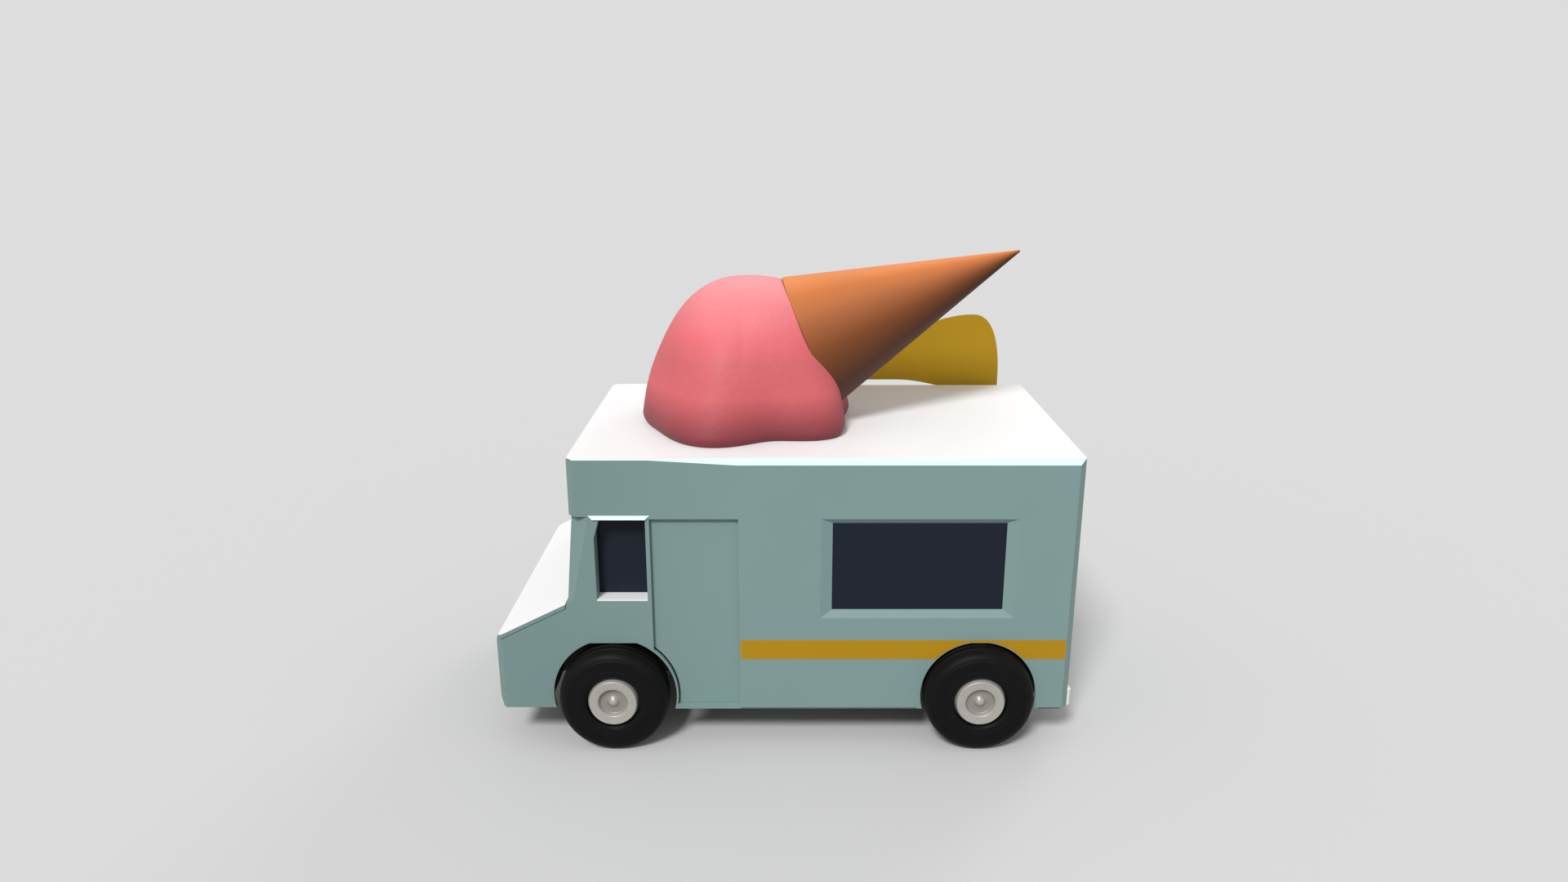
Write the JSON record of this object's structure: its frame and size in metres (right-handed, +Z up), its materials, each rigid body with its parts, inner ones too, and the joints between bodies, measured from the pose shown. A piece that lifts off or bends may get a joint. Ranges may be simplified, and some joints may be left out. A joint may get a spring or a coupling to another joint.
{
  "type": "ice cream truck",
  "caption": "Small step van for selling ice cream, with serving windows, sliding entry doors, hinged rear doors, lifting bonnet, steered wheels and a giant dropped cone on the roof.",
  "frame": {"origin": "on the road, midway along and across the whole vehicle", "axes": "+X forward, +Y to the vehicle's left, +Z up"},
  "size_m": [4.392, 2.619, 3.6618],
  "materials": {
    "teal_paint": "satin",
    "white_paint": "satin",
    "dark_glass": "tinted",
    "tyre_rubber": "matte",
    "silver_wheel": "satin",
    "frame_black": "matte",
    "cast_metal": "rough",
    "bare_steel": "brushed",
    "floor_plate": "rolled",
    "black_plastic": "moulded",
    "lamp_glass": "clear",
    "red_lens": "gloss",
    "pink_moulding": "satin",
    "cone_moulding": "satin",
    "ochre_board": "satin",
    "seat_vinyl": "grained"
  },
  "bodies": {
    "body": {"chassis_frame": "frame_black", "leaf_springs": "frame_black", "front_axle": "cast_metal", "rear_axle": "cast_metal", "propeller_shaft": "frame_black", "engine_block": "cast_metal", "front_wheel_housings": "frame_black", "rear_wheel_housings": "frame_black", "floor_pan": "floor_plate", "firewall": "frame_black", "side_wall_left": "teal_paint", "side_wall_right": "teal_paint", "serving_glass": "dark_glass", "cab_side_left": "teal_paint", "cab_side_right": "teal_paint", "cab_glass": "dark_glass", "window_ledges": "white_paint", "door_tracks": "bare_steel", "rear_frame": "teal_paint", "roof_panel": "white_paint", "cab_front": "teal_paint", "windscreen": "dark_glass", "nose_panel": "teal_paint", "front_bumper": "teal_paint", "grille": "black_plastic", "headlamps": "lamp_glass", "rear_bumper": "white_paint", "tail_lamps": "red_lens", "scoop": "pink_moulding", "cone": "cone_moulding", "roof_sign": "ochre_board", "dashboard": "black_plastic", "steering_wheel": "black_plastic", "seat_base": "black_plastic", "seat_cushion": "seat_vinyl", "seat_back": "seat_vinyl", "service_counters": "bare_steel", "fuel_tank": "frame_black", "exhaust": "bare_steel"},
    "left_knuckle": {"knuckle_left": "cast_metal"},
    "right_knuckle": {"knuckle_right": "cast_metal"},
    "steering_track_rod": {"track_rod": "bare_steel"},
    "front_left_wheel": {"tyre_front_left": "tyre_rubber", "wheel_front_left": "silver_wheel"},
    "front_right_wheel": {"tyre_front_right": "tyre_rubber", "wheel_front_right": "silver_wheel"},
    "rear_left_wheel": {"tyre_rear_left": "tyre_rubber", "wheel_rear_left": "silver_wheel"},
    "rear_right_wheel": {"tyre_rear_right": "tyre_rubber", "wheel_rear_right": "silver_wheel"},
    "left_entry_door": {"entry_door_left": "teal_paint"},
    "right_entry_door": {"entry_door_right": "teal_paint"},
    "left_rear_door": {"rear_door_left": "teal_paint", "rear_glass_left": "dark_glass"},
    "right_rear_door": {"rear_door_right": "teal_paint", "rear_glass_right": "dark_glass"},
    "bonnet_lid": {"bonnet": "white_paint"}
  },
  "joints": [
    {"name": "steer_left", "type": "hinge", "parent": "body", "child": "left_knuckle", "pos_m": [1.306, 1.05, 0.417], "axis": [0, 0, 1], "range_deg": [-30, 30]},
    {"name": "steer_right", "type": "hinge", "parent": "body", "child": "right_knuckle", "pos_m": [1.306, -1.05, 0.417], "axis": [0, 0, 1], "range_deg": [-30, 30]},
    {"name": "track_rod_left_ball", "type": "hinge", "parent": "left_knuckle", "child": "steering_track_rod", "pos_m": [1.436, 1.05, 0.441], "axis": [0, 0, 1], "range_deg": [-30, 30]},
    {"name": "front_left_spin", "type": "hinge", "parent": "left_knuckle", "child": "front_left_wheel", "pos_m": [1.306, 1.166, 0.417], "axis": [0, 1, 0], "continuous": true},
    {"name": "front_right_spin", "type": "hinge", "parent": "right_knuckle", "child": "front_right_wheel", "pos_m": [1.306, -1.166, 0.417], "axis": [0, 1, 0], "continuous": true},
    {"name": "rear_left_spin", "type": "hinge", "parent": "body", "child": "rear_left_wheel", "pos_m": [-1.469, 1.166, 0.417], "axis": [0, 1, 0], "continuous": true},
    {"name": "rear_right_spin", "type": "hinge", "parent": "body", "child": "rear_right_wheel", "pos_m": [-1.469, -1.166, 0.417], "axis": [0, 1, 0], "continuous": true},
    {"name": "left_entry_slide", "type": "slide", "parent": "body", "child": "left_entry_door", "axis": [-1, 0, 0], "range_m": [0, 0.56]},
    {"name": "right_entry_slide", "type": "slide", "parent": "body", "child": "right_entry_door", "axis": [-1, 0, 0], "range_m": [0, 0.56]},
    {"name": "left_rear_hinge", "type": "hinge", "parent": "body", "child": "left_rear_door", "pos_m": [-2.178, 0.617, 1.32], "axis": [0, 0, -1], "range_deg": [0, 110]},
    {"name": "right_rear_hinge", "type": "hinge", "parent": "body", "child": "right_rear_door", "pos_m": [-2.178, -0.617, 1.32], "axis": [0, 0, 1], "range_deg": [0, 110]},
    {"name": "bonnet_hinge", "type": "hinge", "parent": "body", "child": "bonnet_lid", "pos_m": [1.65, 0, 1.1684], "axis": [0, -1, 0], "range_deg": [0, 60]}
  ],
  "couplings": [
    {"joint": "steer_right", "follows": "steer_left", "ratio": 1},
    {"joint": "track_rod_left_ball", "follows": "steer_left", "ratio": -1}
  ]
}
